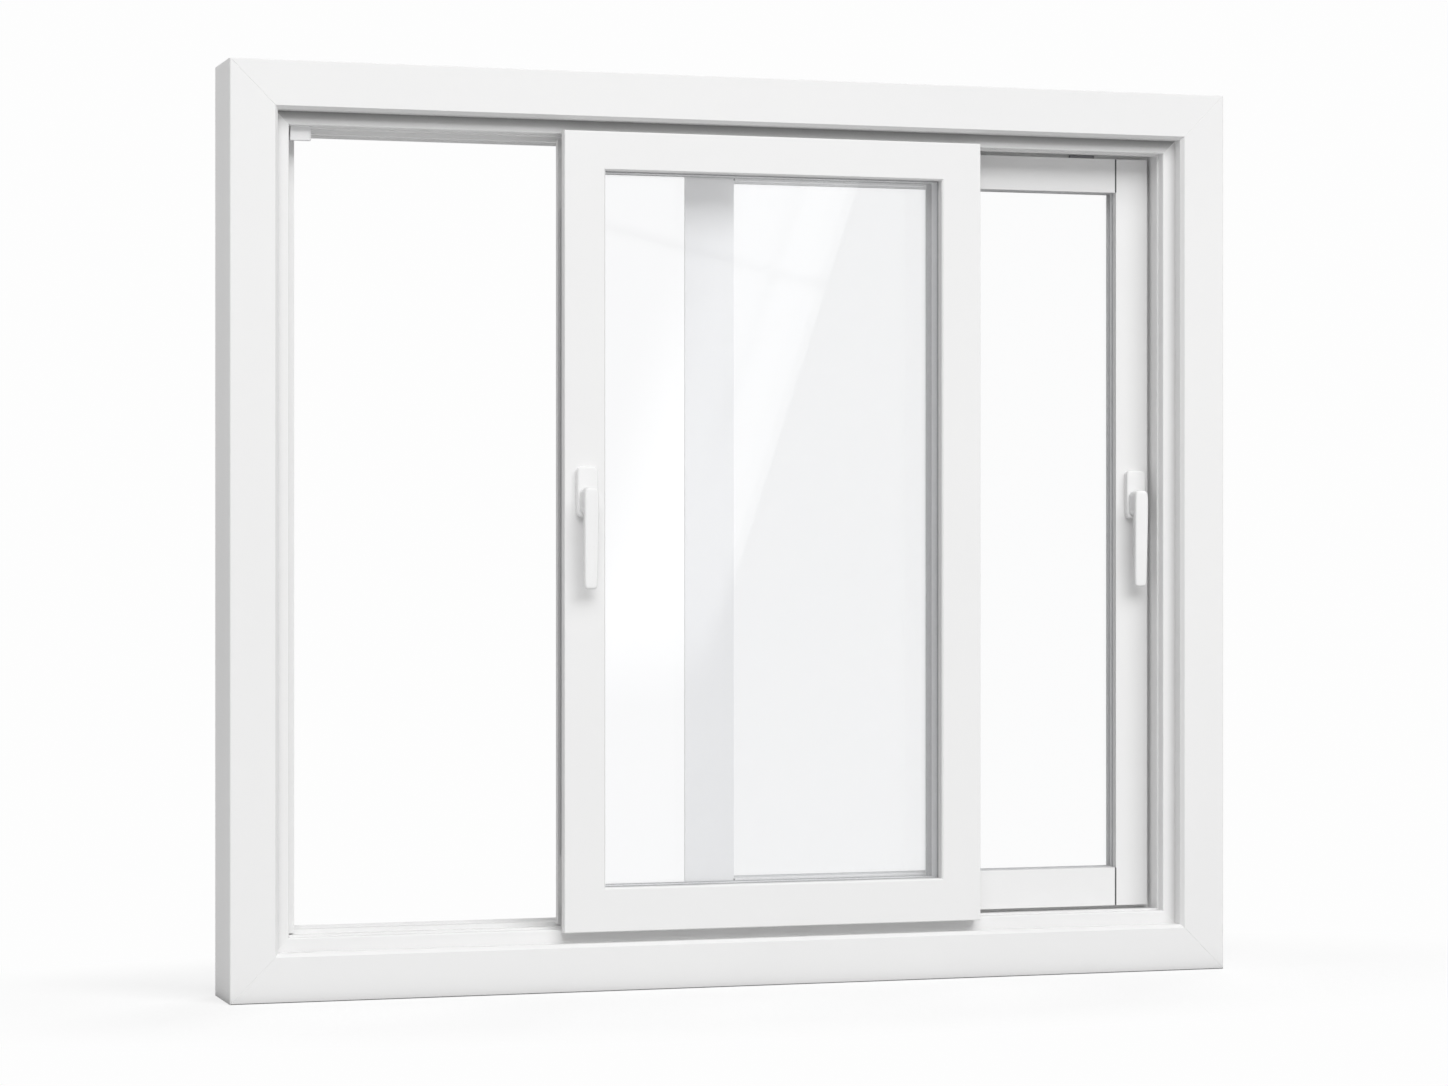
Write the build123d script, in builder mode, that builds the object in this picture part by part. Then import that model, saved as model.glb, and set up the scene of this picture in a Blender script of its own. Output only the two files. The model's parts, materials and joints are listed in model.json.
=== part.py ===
"""White two-light sliding window, on its own sill: frame, two sashes with glass, two lever handles.

Millimetres, +X to the right and +Y to the outside as seen from the room, +Z up.
The origin is the centre of the underside of the sill.
"""
import os
from dataclasses import dataclass

from build123d import *

# Outer frame
frame_width = 1375.0
frame_height = 1200.0
frame_depth = 110.0
face_width = 58.0
outer_edge_bevel = 1.2
weld_groove = 0.4
lip_bevel_width = 4.3
lip_bevel_depth = 6.0
step_width = 17.7
step_depth = 23.0
step_edge_radius = 2.0
track_rib_depth = 38.0
track_rib_width = 4.0
track_rib_height = 2.3
rear_rail_depth = 75.5
rear_rail_width = 14.0
rear_rail_height = 5.3
back_upstand_width = 4.0
back_upstand_height = 7.4

# Fits shared by the frame and the sashes
running_clearance = 5.0
seat_clearance = 0.3
guide_clearance = 0.5

# Strip that covers the unused rear track at the left jamb
cover_height = 15.0
cover_edge_radius = 1.5
cover_end_gap = 1.7

# Block at the left end of the front head track
block_length = 27.5
block_drop = 18.0
block_width = 11.0
block_nose_radius = 4.4
block_end_gap = 4.0

# Front sash, shown slid open
front_sash_width = 580.0
front_sash_opening = 357.5
front_face_depth = 3.0
front_sash_depth = 57.0
front_stile_width = 55.5
front_top_rail_width = 51.0
front_bottom_rail_width = 57.5
flange_overlap = 3.0
flange_edge_radius = 1.6
side_inset = 3.5
front_leg_depth = 14.0
front_pane_gap = 20.0
front_bead_side_reveal = 5.5
front_bead_level_reveal = 0.5

# Rear sash, shown shut
rear_face_depth = 67.0
rear_sash_depth = 34.0
rear_stile_width = 46.0
rear_top_rail_width = 46.0
rear_bottom_rail_width = 52.0
meeting_overlap = 18.5
rear_leg_depth = 9.0
rear_pane_gap = 6.0
rear_bead_side_reveal = 2.5
rear_bead_level_reveal = 0.5
joint_groove_width = 1.2
joint_groove_depth = 6.0

# Glazing shared by both sashes
pane_thickness = 4.0
rebate_height = 14.0
glass_edge_cover = 10.0
gasket_thickness = 3.0
gasket_reveal = 1.0
sight_bevel = 2.0
bead_bevel = 3.0
spacer_inset = 3.0
spacer_height = 7.5

# Grooves round the sashes, and what runs in them
run_groove_height = 22.0
edge_groove_depth = 6.0
lock_strip_width = 16.0
lock_strip_thickness = 2.5
lock_strip_end_gap = 90.0
roller_inset = 95.0
roller_radius = 10.0
roller_width = 7.0
carriage_length = 64.0
carriage_wall = 4.0
carriage_axle_radius = 3.0
carriage_skirt = 4.5
guide_inset = 95.0
guide_length = 36.0
interlock_reach = 16.0
interlock_plate = 3.5
interlock_foot = 6.0

# Lever handles
handle_height = 644.0
front_handle_inset = 29.0
rear_handle_inset = 20.0
rosette_width = 28.0
rosette_height = 66.0
rosette_rise = 8.0
rosette_thickness = 10.0
rosette_corner_radius = 7.0
rosette_edge_bevel = 1.8
collar_radius = 9.0
collar_height = 2.5
neck_width = 19.0
neck_height = 27.0
neck_corner_radius = 8.0
lever_reach = 31.0
lever_end_reach = 27.5
lever_top_thickness = 13.5
lever_end_thickness = 9.5
lever_top_width = 21.0
lever_end_width = 18.0
lever_length = 119.0
lever_shoulder_radius = 9.0
lever_corner_radius = 5.5
lever_edge_radius = 3.0
lever_back_bevel = 1.5


@dataclass(frozen=True)
class Box2:
    """A rectangle in the plane of the window: X from left to right, Z from bottom to top."""

    left: float
    bottom: float
    right: float
    top: float

    def grown(self, amount):
        """The rectangle with every side moved outwards."""
        return Box2(self.left - amount, self.bottom - amount, self.right + amount, self.top + amount)

    def draw(self, mode=Mode.ADD):
        """Draw the rectangle in the sketch that is open."""
        middle = ((self.left + self.right) / 2, (self.bottom + self.top) / 2)
        with Locations(middle):
            Rectangle(self.right - self.left, self.top - self.bottom, mode=mode)


def room_plane(depth):
    """The plane parallel to the front of the frame, at a depth behind it, with X right and Z up."""
    return Plane.XZ.offset(frame_depth / 2 - depth)


def y_at(depth):
    """The Y coordinate at a depth behind the front of the frame."""
    return depth - frame_depth / 2


def slab(box, depth_from, depth_to, mode=Mode.ADD):
    """Add to, or cut from, the open part a rectangle between two depths."""
    with BuildSketch(room_plane(depth_from)) as profile:
        box.draw()
    extrude(profile.sketch, amount=depth_from - depth_to, mode=mode)


def ring(outer, inner, depth_from, depth_to):
    """A rectangular ring between two depths."""
    with BuildPart() as made:
        with BuildSketch(room_plane(depth_from)):
            outer.draw()
            inner.draw(mode=Mode.SUBTRACT)
        extrude(amount=depth_from - depth_to)
    return made.part


def mitre_corners(side, outer, inner):
    """The four corners of one side of a mitred frame, between its outer and inner rectangles."""
    outside = {
        "left": [(outer.left, outer.bottom), (outer.left, outer.top)],
        "right": [(outer.right, outer.top), (outer.right, outer.bottom)],
        "top": [(outer.left, outer.top), (outer.right, outer.top)],
        "bottom": [(outer.right, outer.bottom), (outer.left, outer.bottom)],
    }[side]
    inside = {
        "left": [(inner.left, inner.top), (inner.left, inner.bottom)],
        "right": [(inner.right, inner.bottom), (inner.right, inner.top)],
        "top": [(inner.right, inner.top), (inner.left, inner.top)],
        "bottom": [(inner.left, inner.bottom), (inner.right, inner.bottom)],
    }[side]
    return outside + inside


def mitred_side(whole, side, outer, inner, depth_from, depth_to):
    """One side of a rectangular frame, cut from the whole along its mitres."""
    with BuildPart() as made:
        add(whole)
        with BuildSketch(room_plane(depth_from)):
            with BuildLine():
                Polyline(*mitre_corners(side, outer, inner), close=True)
            make_face()
        extrude(amount=depth_from - depth_to, mode=Mode.INTERSECT)
    return made.part


def keep(part, name):
    """Label a finished piece and write it."""
    part.label = name
    export_step(part, f"parts/{name}.step")


os.makedirs("parts", exist_ok=True)

# Places that follow from the sizes above
half_width = frame_width / 2
step_margin = face_width + lip_bevel_width
floor_margin = step_margin + step_width
floor = Box2(-half_width + floor_margin, floor_margin, half_width - floor_margin, frame_height - floor_margin)
sash_bounds = floor.grown(-running_clearance)
front_shut_left = sash_bounds.left - side_inset
front_left = front_shut_left + front_sash_opening
rear_left = front_shut_left + front_sash_width - meeting_overlap

front_flange = Box2(
    front_left,
    floor.bottom - flange_overlap,
    front_left + front_sash_width,
    floor.top + flange_overlap,
)
front_body = Box2(
    front_flange.left + side_inset,
    sash_bounds.bottom,
    front_flange.right - side_inset,
    sash_bounds.top,
)
front_sight = Box2(
    front_flange.left + front_stile_width,
    front_flange.bottom + front_bottom_rail_width,
    front_flange.right - front_stile_width,
    front_flange.top - front_top_rail_width,
)
rear_body = Box2(rear_left, sash_bounds.bottom, sash_bounds.right, sash_bounds.top)
rear_sight = Box2(
    rear_body.left + rear_stile_width,
    rear_body.bottom + rear_bottom_rail_width,
    rear_body.right - rear_stile_width,
    rear_body.top - rear_top_rail_width,
)
front_back_depth = front_face_depth + front_sash_depth
rear_back_depth = rear_face_depth + rear_sash_depth
front_track_middle = track_rib_depth + track_rib_width / 2
rear_track_middle = rear_rail_depth + rear_rail_width / 2
front_groove_half = block_width / 2 + running_clearance
rear_groove_half = rear_rail_width / 2 + running_clearance


# Frame: one profile, cut to length and mitred at the corners

frame_outline = [
    (0, 0),
    (face_width, 0),
    (step_margin, lip_bevel_depth),
    (step_margin, step_depth),
    (floor_margin, step_depth),
    (floor_margin, track_rib_depth),
    (floor_margin + track_rib_height, track_rib_depth),
    (floor_margin + track_rib_height, track_rib_depth + track_rib_width),
    (floor_margin, track_rib_depth + track_rib_width),
    (floor_margin, rear_rail_depth),
    (floor_margin + rear_rail_height, rear_rail_depth),
    (floor_margin + rear_rail_height, rear_rail_depth + rear_rail_width),
    (floor_margin, rear_rail_depth + rear_rail_width),
    (floor_margin, frame_depth - back_upstand_width),
    (floor_margin + back_upstand_height, frame_depth - back_upstand_width),
    (floor_margin + back_upstand_height, frame_depth),
    (0, frame_depth),
]


def is_mitre(edge, run):
    """Whether a straight edge of a face runs neither along nor across a member."""
    slant = abs((edge @ 1 - edge @ 0).normalized().dot(run))
    return 0.1 < slant < 0.9


def frame_member(start, end, inward):
    """One frame member, run from one outer corner of the front face to the next and mitred at both."""
    run = (end - start).normalized()
    with BuildPart() as made:
        with BuildSketch(Plane(start, x_dir=inward, z_dir=run)) as profile:
            with BuildLine():
                Polyline(*frame_outline, close=True)
            make_face()
            fillet(profile.vertices().sort_by_distance((floor_margin, step_depth))[0], step_edge_radius)
            for outer_corner in ((0, 0), (0, frame_depth)):
                chamfer(profile.vertices().sort_by_distance(outer_corner)[0], outer_edge_bevel)
        extrude(amount=(end - start).length)
        split(bisect_by=Plane(start, z_dir=run - inward), keep=Keep.TOP)
        split(bisect_by=Plane(end, z_dir=-run - inward), keep=Keep.TOP)
        flats = made.faces().filter_by(Axis.Y).sort_by(Axis.Y)
        chamfer([e for flat in (flats[0], flats[-1]) for e in flat.edges() if is_mitre(e, run)], weld_groove)
    return made.part


bottom_left = Vector(-half_width, y_at(0), 0)
bottom_right = Vector(half_width, y_at(0), 0)
top_left = Vector(-half_width, y_at(0), frame_height)
top_right = Vector(half_width, y_at(0), frame_height)
keep(frame_member(bottom_right, bottom_left, Vector(0, 0, 1)), "frame_sill")
keep(frame_member(bottom_left, top_left, Vector(1, 0, 0)), "frame_left_jamb")
keep(frame_member(top_left, top_right, Vector(0, 0, -1)), "frame_head")
keep(frame_member(top_right, bottom_right, Vector(-1, 0, 0)), "frame_right_jamb")


# Cover strip on the rear track of the left jamb, clear of the sill and head rails

cover_front = front_back_depth + running_clearance
cover_back = frame_depth - back_upstand_width - seat_clearance
cover_box = Box2(floor.left, floor.bottom + cover_end_gap, floor.left + cover_height, floor.top - cover_end_gap)
rail_front = rear_rail_depth - seat_clearance
rail_back = rear_rail_depth + rear_rail_width + seat_clearance
with BuildPart() as jamb_cover:
    slab(cover_box, cover_front, cover_back)
    fillet(jamb_cover.edges().filter_by(Axis.Z).group_by(Axis.X)[-1], cover_edge_radius)
    rail_room = rear_rail_height + seat_clearance
    over_rails = floor.grown(-rail_room)
    for room in (
        Box2(floor.left, floor.bottom, over_rails.left, floor.top),
        Box2(floor.left, floor.bottom, cover_box.right, over_rails.bottom),
        Box2(floor.left, over_rails.top, cover_box.right, floor.top),
    ):
        slab(room, rail_front, rail_back, mode=Mode.SUBTRACT)
keep(jamb_cover.part, "left_jamb_cover")


# Block under the head, on the front track, with a rounded nose towards the opening

block_box = Box2(
    floor.left + block_end_gap,
    floor.top - block_drop,
    floor.left + block_end_gap + block_length,
    floor.top,
)
with BuildPart() as head_block:
    slab(block_box, front_track_middle - block_width / 2, front_track_middle + block_width / 2)
    fillet(head_block.edges().filter_by(Axis.Z).group_by(Axis.X)[-1], block_nose_radius)
    rib_room = Box2(block_box.left, floor.top - track_rib_height - seat_clearance, block_box.right, floor.top)
    slab(
        rib_room,
        track_rib_depth - seat_clearance,
        track_rib_depth + track_rib_width + seat_clearance,
        mode=Mode.SUBTRACT,
    )
keep(head_block.part, "head_end_block")


# Glazing of one sash: panes, spacer, gaskets and beads behind a fixed front leg

def make_glazing(prefix, sight, leg_back, pane_gap, side_reveal, level_reveal, sash_back):
    """Write the glazing of one sash, from the back of its front leg to the back of the sash."""
    glass = sight.grown(glass_edge_cover)
    rebate = sight.grown(rebate_height)
    bead_sight = Box2(
        sight.left + side_reveal,
        sight.bottom + level_reveal,
        sight.right - side_reveal,
        sight.top - level_reveal,
    )
    inner_front = leg_back + gasket_thickness
    outer_front = inner_front + pane_thickness + pane_gap
    glass_back = outer_front + pane_thickness
    bead_front = glass_back + gasket_thickness

    with BuildPart() as inner_pane:
        slab(glass, inner_front, inner_front + pane_thickness)
    keep(inner_pane.part, f"{prefix}_inner_pane")
    with BuildPart() as outer_pane:
        slab(glass, outer_front, glass_back)
    keep(outer_pane.part, f"{prefix}_outer_pane")

    spacer_outer = glass.grown(-spacer_inset)
    spacer_inner = spacer_outer.grown(-spacer_height)
    keep(ring(spacer_outer, spacer_inner, inner_front + pane_thickness, outer_front), f"{prefix}_pane_spacer")

    with BuildPart() as gaskets:
        add(ring(glass, sight.grown(-gasket_reveal), leg_back, inner_front))
        add(ring(glass, bead_sight.grown(-gasket_reveal), glass_back, bead_front))
    keep(gaskets.part, f"{prefix}_glass_gaskets")

    with BuildPart() as beads:
        add(ring(rebate, bead_sight, bead_front, sash_back))
        back_edges = beads.faces().sort_by(Axis.Y)[-1].inner_wires().edges()
        chamfer(back_edges, bead_bevel)
    for side in ("left", "right", "top", "bottom"):
        bead = mitred_side(beads.part, side, rebate, bead_sight, bead_front, sash_back)
        keep(bead, f"{prefix}_{side}_bead")


# Front sash: an overlapping flange on a body with grooves round its edge

front_leg_back = front_face_depth + front_leg_depth
flange_back = step_depth - running_clearance
front_groove = (front_track_middle - front_groove_half, front_track_middle + front_groove_half)
with BuildPart() as front_whole:
    slab(front_flange, front_face_depth, flange_back)
    slab(front_body, flange_back, front_back_depth)
    slab(front_sight, front_face_depth, front_back_depth, mode=Mode.SUBTRACT)
    slab(front_sight.grown(rebate_height), front_leg_back, front_back_depth, mode=Mode.SUBTRACT)
    for groove_box in (
        Box2(front_flange.left, front_body.bottom, front_flange.right, front_body.bottom + run_groove_height),
        Box2(front_flange.left, front_body.top - run_groove_height, front_flange.right, front_body.top),
        Box2(front_body.left, front_body.bottom, front_body.left + edge_groove_depth, front_body.top),
        Box2(front_body.right - edge_groove_depth, front_body.bottom, front_body.right, front_body.top),
    ):
        slab(groove_box, *front_groove, mode=Mode.SUBTRACT)
for side, name, along, outwards in (
    ("left", "left_stile", Axis.Z, -Axis.X),
    ("right", "right_stile", Axis.Z, Axis.X),
    ("top", "top_rail", Axis.X, Axis.Z),
    ("bottom", "bottom_rail", Axis.X, -Axis.Z),
):
    with BuildPart() as member:
        add(mitred_side(front_whole.part, side, front_flange, front_sight, front_face_depth, front_back_depth))
        face_edges = member.faces().sort_by(Axis.Y)[0].edges().filter_by(along).sort_by(outwards)
        fillet(face_edges[-1], flange_edge_radius)
        chamfer(face_edges[0], sight_bevel)
    keep(member.part, f"front_sash_{name}")
make_glazing(
    "front",
    front_sight,
    front_leg_back,
    front_pane_gap,
    front_bead_side_reveal,
    front_bead_level_reveal,
    front_back_depth,
)

# Steel lock strip on the floor of the edge groove, on the side with the handle
strip_box = Box2(
    front_body.left + edge_groove_depth - lock_strip_thickness,
    front_body.bottom + lock_strip_end_gap,
    front_body.left + edge_groove_depth,
    front_body.top - lock_strip_end_gap,
)
with BuildPart() as lock_strip:
    slab(strip_box, front_track_middle - lock_strip_width / 2, front_track_middle + lock_strip_width / 2)
keep(lock_strip.part, "front_lock_strip")


# Rear sash: full-height stiles with the rails let in between them

rear_leg_back = rear_face_depth + rear_leg_depth
rear_groove = (rear_track_middle - rear_groove_half, rear_track_middle + rear_groove_half)
with BuildPart() as rear_whole:
    slab(rear_body, rear_face_depth, rear_back_depth)
    slab(rear_sight, rear_face_depth, rear_back_depth, mode=Mode.SUBTRACT)
    slab(rear_sight.grown(rebate_height), rear_leg_back, rear_back_depth, mode=Mode.SUBTRACT)
    for groove_box in (
        Box2(rear_body.left, rear_body.bottom, rear_body.right, rear_body.bottom + run_groove_height),
        Box2(rear_body.left, rear_body.top - run_groove_height, rear_body.right, rear_body.top),
        Box2(rear_body.left, rear_body.bottom, rear_body.left + edge_groove_depth, rear_body.top),
        Box2(rear_body.right - edge_groove_depth, rear_body.bottom, rear_body.right, rear_body.top),
    ):
        slab(groove_box, *rear_groove, mode=Mode.SUBTRACT)
rear_joints = (
    Box2(rear_sight.left, rear_body.bottom, rear_sight.left + joint_groove_width, rear_body.top),
    Box2(rear_sight.right - joint_groove_width, rear_body.bottom, rear_sight.right, rear_body.top),
)
for name, box in (
    ("left_stile", Box2(rear_body.left, rear_body.bottom, rear_sight.left, rear_body.top)),
    ("right_stile", Box2(rear_sight.right, rear_body.bottom, rear_body.right, rear_body.top)),
    ("top_rail", Box2(rear_sight.left, rear_sight.top, rear_sight.right, rear_body.top)),
    ("bottom_rail", Box2(rear_sight.left, rear_body.bottom, rear_sight.right, rear_sight.bottom)),
):
    with BuildPart() as member:
        add(rear_whole.part)
        slab(box, rear_face_depth, rear_back_depth, mode=Mode.INTERSECT)
        if name.endswith("rail"):
            for joint in rear_joints:
                slab(joint, rear_face_depth, rear_face_depth + joint_groove_depth, mode=Mode.SUBTRACT)
                slab(joint, rear_back_depth - joint_groove_depth, rear_back_depth, mode=Mode.SUBTRACT)
    keep(member.part, f"rear_sash_{name}")
make_glazing(
    "rear",
    rear_sight,
    rear_leg_back,
    rear_pane_gap,
    rear_bead_side_reveal,
    rear_bead_level_reveal,
    rear_back_depth,
)

# Interlock strip on the meeting stile, with its foot in the edge groove
interlock_foot_front = rear_groove[0] + guide_clearance
interlock_foot_back = rear_groove[1] - guide_clearance
with BuildPart() as interlock:
    foot = Box2(rear_body.left - interlock_foot, rear_body.bottom, rear_body.left + edge_groove_depth, rear_body.top)
    slab(foot, interlock_foot_front, interlock_foot_back)
    post = Box2(rear_body.left - interlock_foot, rear_body.bottom, rear_body.left, rear_body.top)
    slab(post, rear_face_depth, interlock_foot_back)
    plate = Box2(post.left - interlock_reach, rear_body.bottom, post.left, rear_body.top)
    slab(plate, rear_face_depth, rear_face_depth + interlock_plate)
    for end_box in (
        Box2(plate.left, rear_body.bottom, rear_sight.left, rear_body.bottom + run_groove_height),
        Box2(plate.left, rear_body.top - run_groove_height, rear_sight.left, rear_body.top),
    ):
        slab(end_box, *rear_groove, mode=Mode.SUBTRACT)
keep(interlock.part, "rear_interlock_strip")


# Rollers under, and guides over, one sash

def make_rollers(name, body, middle, rail_top):
    """Write the two roller carriages of one sash, seated in its groove and standing on its rail."""
    ceiling = body.bottom + run_groove_height
    axle_height = rail_top + seat_clearance + roller_radius
    carriage_half = roller_width / 2 + guide_clearance + carriage_wall
    with BuildPart() as rollers:
        for x in (body.left + roller_inset, body.right - roller_inset):
            half_length = carriage_length / 2
            housing = Box2(x - half_length, axle_height - carriage_skirt, x + half_length, ceiling)
            slab(housing, middle - carriage_half, middle + carriage_half)
            wheel_half = roller_radius + guide_clearance
            wheel_room = Box2(x - wheel_half, housing.bottom, x + wheel_half, ceiling)
            slot_half = roller_width / 2 + guide_clearance
            slab(wheel_room, middle - slot_half, middle + slot_half, mode=Mode.SUBTRACT)
            with BuildSketch(room_plane(middle - roller_width / 2)):
                with Locations((x, axle_height)):
                    Circle(roller_radius)
            extrude(amount=-roller_width)
            with BuildSketch(room_plane(middle - carriage_half)):
                with Locations((x, axle_height)):
                    Circle(carriage_axle_radius)
            extrude(amount=-2 * carriage_half)
    keep(rollers.part, name)


def make_guides(name, body, groove, rail_depths, rail_bottom):
    """Write the two top guides of one sash, seated in its groove and straddling the head rail."""
    groove_floor = body.top - run_groove_height
    with BuildPart() as guides:
        for x in (body.left + guide_inset, body.right - guide_inset):
            guide = Box2(x - guide_length / 2, groove_floor, x + guide_length / 2, floor.top - guide_clearance)
            slab(guide, groove[0] + guide_clearance, groove[1] - guide_clearance)
            slot = Box2(guide.left, rail_bottom - guide_clearance, guide.right, floor.top)
            slab(slot, rail_depths[0] - guide_clearance, rail_depths[1] + guide_clearance, mode=Mode.SUBTRACT)
    keep(guides.part, name)


front_rail = (track_rib_depth, track_rib_depth + track_rib_width)
rear_rail = (rear_rail_depth, rear_rail_depth + rear_rail_width)
make_rollers("front_sash_rollers", front_body, front_track_middle, floor.bottom + track_rib_height)
make_guides("front_sash_guides", front_body, front_groove, front_rail, floor.top - track_rib_height)
make_rollers("rear_sash_rollers", rear_body, rear_track_middle, floor.bottom + rear_rail_height)
make_guides("rear_sash_guides", rear_body, rear_groove, rear_rail, floor.top - rear_rail_height)


# Lever handles

def make_handle(prefix, x, face_depth):
    """Write the rosette and the hanging lever of one handle, on a sash face at a depth."""
    with BuildPart() as rosette:
        with BuildSketch(room_plane(face_depth)):
            with Locations((x, handle_height + rosette_rise)):
                RectangleRounded(rosette_width, rosette_height, rosette_corner_radius)
        extrude(amount=rosette_thickness)
        chamfer(rosette.faces().sort_by(Axis.Y)[0].edges(), rosette_edge_bevel)
        with BuildSketch(room_plane(face_depth - rosette_thickness)):
            with Locations((x, handle_height)):
                Circle(collar_radius)
        extrude(amount=collar_height)
    keep(rosette.part, f"{prefix}_handle_rosette")

    top = handle_height + neck_height / 2
    bottom = handle_height - lever_length
    front_top = Vector(y_at(face_depth - lever_reach), top)
    front_end = Vector(y_at(face_depth - lever_end_reach), bottom)
    neck_start = rosette_thickness + collar_height + seat_clearance
    with BuildPart() as lever:
        with BuildSketch(Plane.YZ.offset(x - lever_top_width / 2)) as side:
            with BuildLine():
                Polyline(
                    front_top,
                    front_end,
                    front_end + Vector(lever_end_thickness, 0),
                    front_top + Vector(lever_top_thickness, 0),
                    close=True,
                )
            make_face()
            fillet(side.vertices().sort_by_distance(front_top)[0], lever_shoulder_radius)
        extrude(amount=lever_top_width)
        with BuildSketch(room_plane(face_depth)) as outline:
            with BuildLine():
                Polyline(
                    (x - lever_top_width / 2, top),
                    (x + lever_top_width / 2, top),
                    (x + lever_end_width / 2, bottom),
                    (x - lever_end_width / 2, bottom),
                    close=True,
                )
            make_face()
            fillet(outline.vertices().group_by(Axis.Y)[0], lever_corner_radius)
        extrude(amount=lever_reach, mode=Mode.INTERSECT)
        back_face = lever.faces().sort_by(Axis.Y)[-1]
        chamfer(back_face.edges(), lever_back_bevel)
        front_face = lever.faces().sort_by(Axis.Y)[0]
        fillet(front_face.edges(), lever_edge_radius)
        with BuildSketch(room_plane(face_depth - neck_start)):
            with Locations((x, handle_height)):
                RectangleRounded(neck_width, neck_height, neck_corner_radius)
        extrude(amount=lever_reach - lever_top_thickness - neck_start + lever_back_bevel)
    keep(lever.part, f"{prefix}_handle_lever")


make_handle("front", front_flange.left + front_handle_inset, front_face_depth)
make_handle("rear", rear_body.right - rear_handle_inset, rear_face_depth)
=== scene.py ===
"""Looks of a white two-sash sliding window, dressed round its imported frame.

The frame gives every place and size. This script adds the finish of each profile, pane and fitting,
the small pieces that are left to looks, a pale floor, soft studio light and the camera.
"""

import json
import logging
import math
from collections.abc import Callable
from dataclasses import dataclass
from enum import Enum

import bmesh
import bpy
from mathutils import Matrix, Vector


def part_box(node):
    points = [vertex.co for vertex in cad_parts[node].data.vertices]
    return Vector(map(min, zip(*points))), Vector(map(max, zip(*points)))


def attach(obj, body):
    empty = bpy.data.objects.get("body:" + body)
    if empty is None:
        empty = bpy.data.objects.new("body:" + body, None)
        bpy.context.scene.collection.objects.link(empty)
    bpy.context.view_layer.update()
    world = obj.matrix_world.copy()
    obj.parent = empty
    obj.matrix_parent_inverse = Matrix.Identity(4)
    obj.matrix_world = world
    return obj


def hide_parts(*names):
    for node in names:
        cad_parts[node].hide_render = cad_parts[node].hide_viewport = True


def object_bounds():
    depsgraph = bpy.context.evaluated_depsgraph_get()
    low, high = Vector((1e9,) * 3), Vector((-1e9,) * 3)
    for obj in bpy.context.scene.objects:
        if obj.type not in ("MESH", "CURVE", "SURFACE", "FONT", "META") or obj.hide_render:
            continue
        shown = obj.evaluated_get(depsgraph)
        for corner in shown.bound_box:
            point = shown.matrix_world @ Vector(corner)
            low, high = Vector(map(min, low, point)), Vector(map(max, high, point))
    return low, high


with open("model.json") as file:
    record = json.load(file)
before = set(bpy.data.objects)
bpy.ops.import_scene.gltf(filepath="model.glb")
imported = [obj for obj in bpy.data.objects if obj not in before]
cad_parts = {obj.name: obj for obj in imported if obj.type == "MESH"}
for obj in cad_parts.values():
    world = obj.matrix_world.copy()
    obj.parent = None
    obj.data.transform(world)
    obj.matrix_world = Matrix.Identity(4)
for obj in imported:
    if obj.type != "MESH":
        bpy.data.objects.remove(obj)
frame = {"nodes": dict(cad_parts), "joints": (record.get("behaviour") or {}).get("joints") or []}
CAD_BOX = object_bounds()

logging.basicConfig(level=logging.INFO, format="%(message)s")
LOG = logging.getLogger("sliding_window")
MM = 0.001
Triple = tuple[float, float, float]
Span = tuple[float, float]
Colour = Triple
Socket = bpy.types.NodeSocket
SocketOrNumber = Socket | float

Y, Z = 1, 2
DEPTH_AXIS = Vector((0.0, 1.0, 0.0))
# Y of the back of the frame's front step, behind which its creases get no painted shade
FRAME_STEP_BACK = -30.0 * MM
# Colour of the darker painted shade in the creases of the head and sill
DEEP_PAINTED_SHADE: Colour = (0.18, 0.18, 0.18)
# Where most of a noise pattern lies
NOISE_MIDDLE: Span = (0.3, 0.7)
# Size of a normal's Z from upright faces to level ones
STEEP_TO_LEVEL: Span = (0.75, 0.95)
# Cosines that count as facing an axis and as running along one
FACING = 0.9
PARALLEL = 0.99
# Degrees above which an edge shades sharp, and above which it is a corner to round
SHARP_ANGLE = 35.0
CORNER_ANGLE = 40.0
MERGE_DISTANCE = 0.000002


class Run(Enum):
    """The way that a profile was pushed through its die, as the scale of its draw lines."""

    ALONG_X = (0.4, 420.0, 420.0)
    ALONG_Z = (420.0, 420.0, 0.4)


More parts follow.
